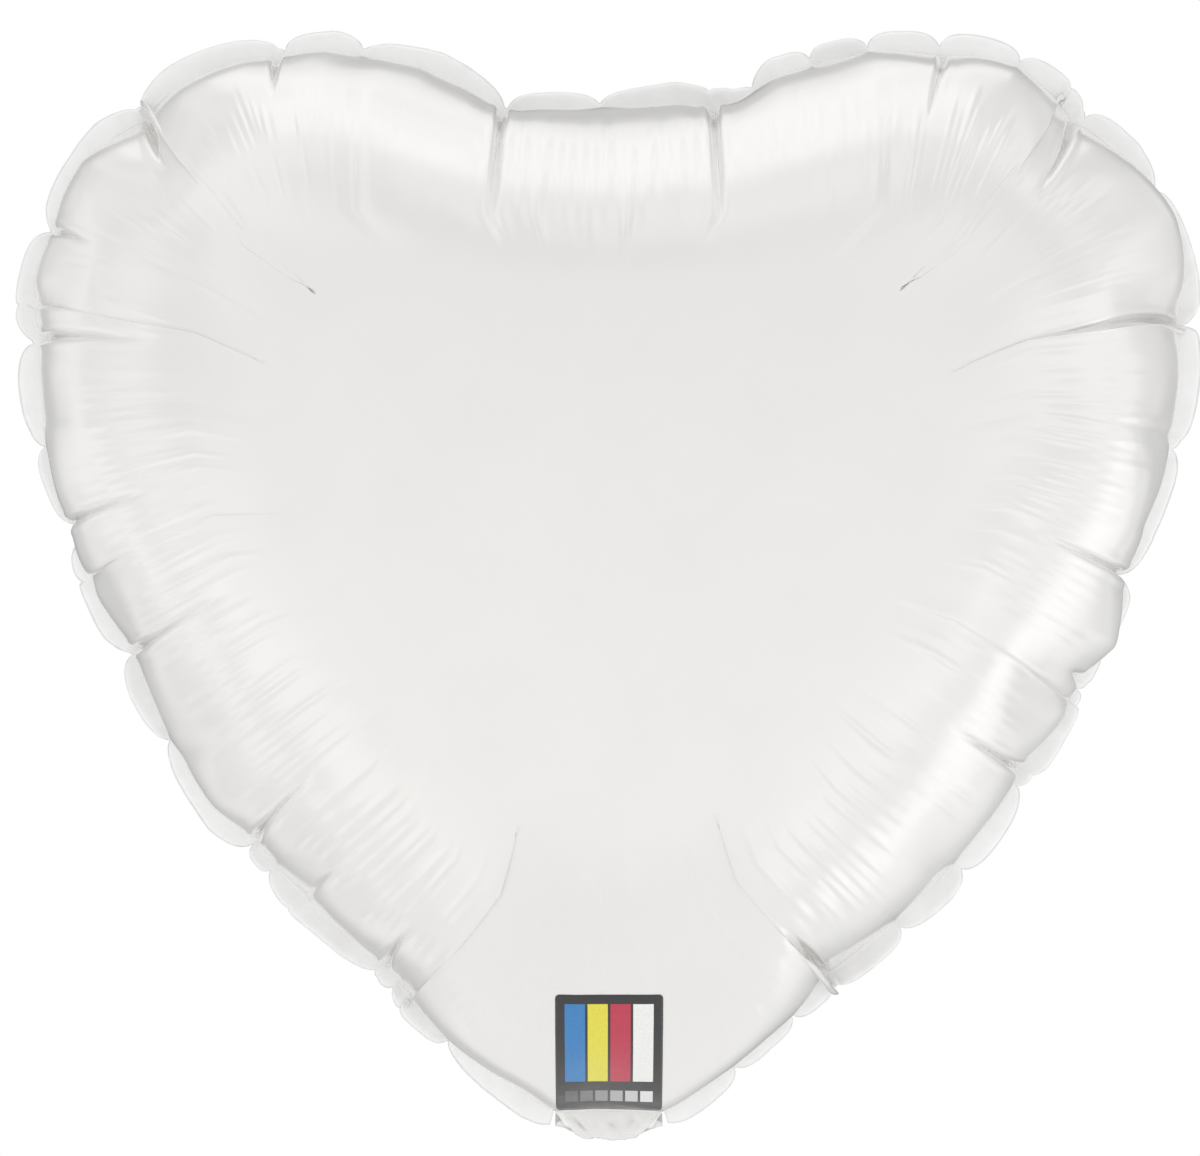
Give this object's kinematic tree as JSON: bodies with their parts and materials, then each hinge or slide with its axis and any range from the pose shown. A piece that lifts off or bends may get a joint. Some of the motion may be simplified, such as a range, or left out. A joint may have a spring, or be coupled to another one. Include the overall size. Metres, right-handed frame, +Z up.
{
  "type": "heart-shaped foil balloon",
  "caption": "Inflated heart-shaped foil balloon with a flat welded margin, a self-sealing film valve in its neck and a tail folded behind.",
  "frame": {"origin": "middle of the neck, where the weld line ends and a ribbon or a stick's cup holds the balloon", "axes": "+Z up from the neck to the lobes, -Y out of the printed front, +X to the right as seen from the front"},
  "size_m": [0.373, 0.1974, 0.349],
  "materials": {
    "front_foil": "pearl white printed on metallised film, soft gloss",
    "back_foil": "pearl white printed on metallised film, soft gloss",
    "tail_foil": "thin grey-white film, creased, soft gloss",
    "valve_film": "clear polyethylene film, soft gloss",
    "label_ink": "printed ink under the film's gloss"
  },
  "bodies": {
    "envelope": {"front_foil_panel": "front_foil", "back_foil_panel": "back_foil", "printed_label": "label_ink", "valve_liner_front": "valve_film", "valve_liner_back": "valve_film", "neck_fold": "tail_foil"},
    "tail": {"tail_foil_front": "tail_foil", "tail_foil_back": "tail_foil", "tail_liner_front": "valve_film", "tail_liner_back": "valve_film"},
    "lip_front": {"valve_lip_front": "valve_film"},
    "lip_back": {"valve_lip_back": "valve_film"}
  },
  "joints": [
    {"name": "tail_fold", "type": "hinge", "parent": "envelope", "child": "tail", "pos_m": [0, 0, -0.0072], "axis": [1, 0, 0], "range_deg": [-210, 0], "deforming": ["neck_fold"]},
    {"name": "valve_lip_front_open", "type": "hinge", "parent": "envelope", "child": "lip_front", "pos_m": [0, -0.0003, 0.0062], "axis": [1, 0, 0], "range_deg": [0, 8], "stiffness_Nm_per_rad": 0.0002},
    {"name": "valve_lip_back_open", "type": "hinge", "parent": "envelope", "child": "lip_back", "pos_m": [0, 0.0003, 0.0062], "axis": [1, 0, 0], "range_deg": [-8, 0], "stiffness_Nm_per_rad": 0.0002}
  ],
  "couplings": [
    {"joint": "valve_lip_back_open", "follows": "valve_lip_front_open", "ratio": -1}
  ]
}
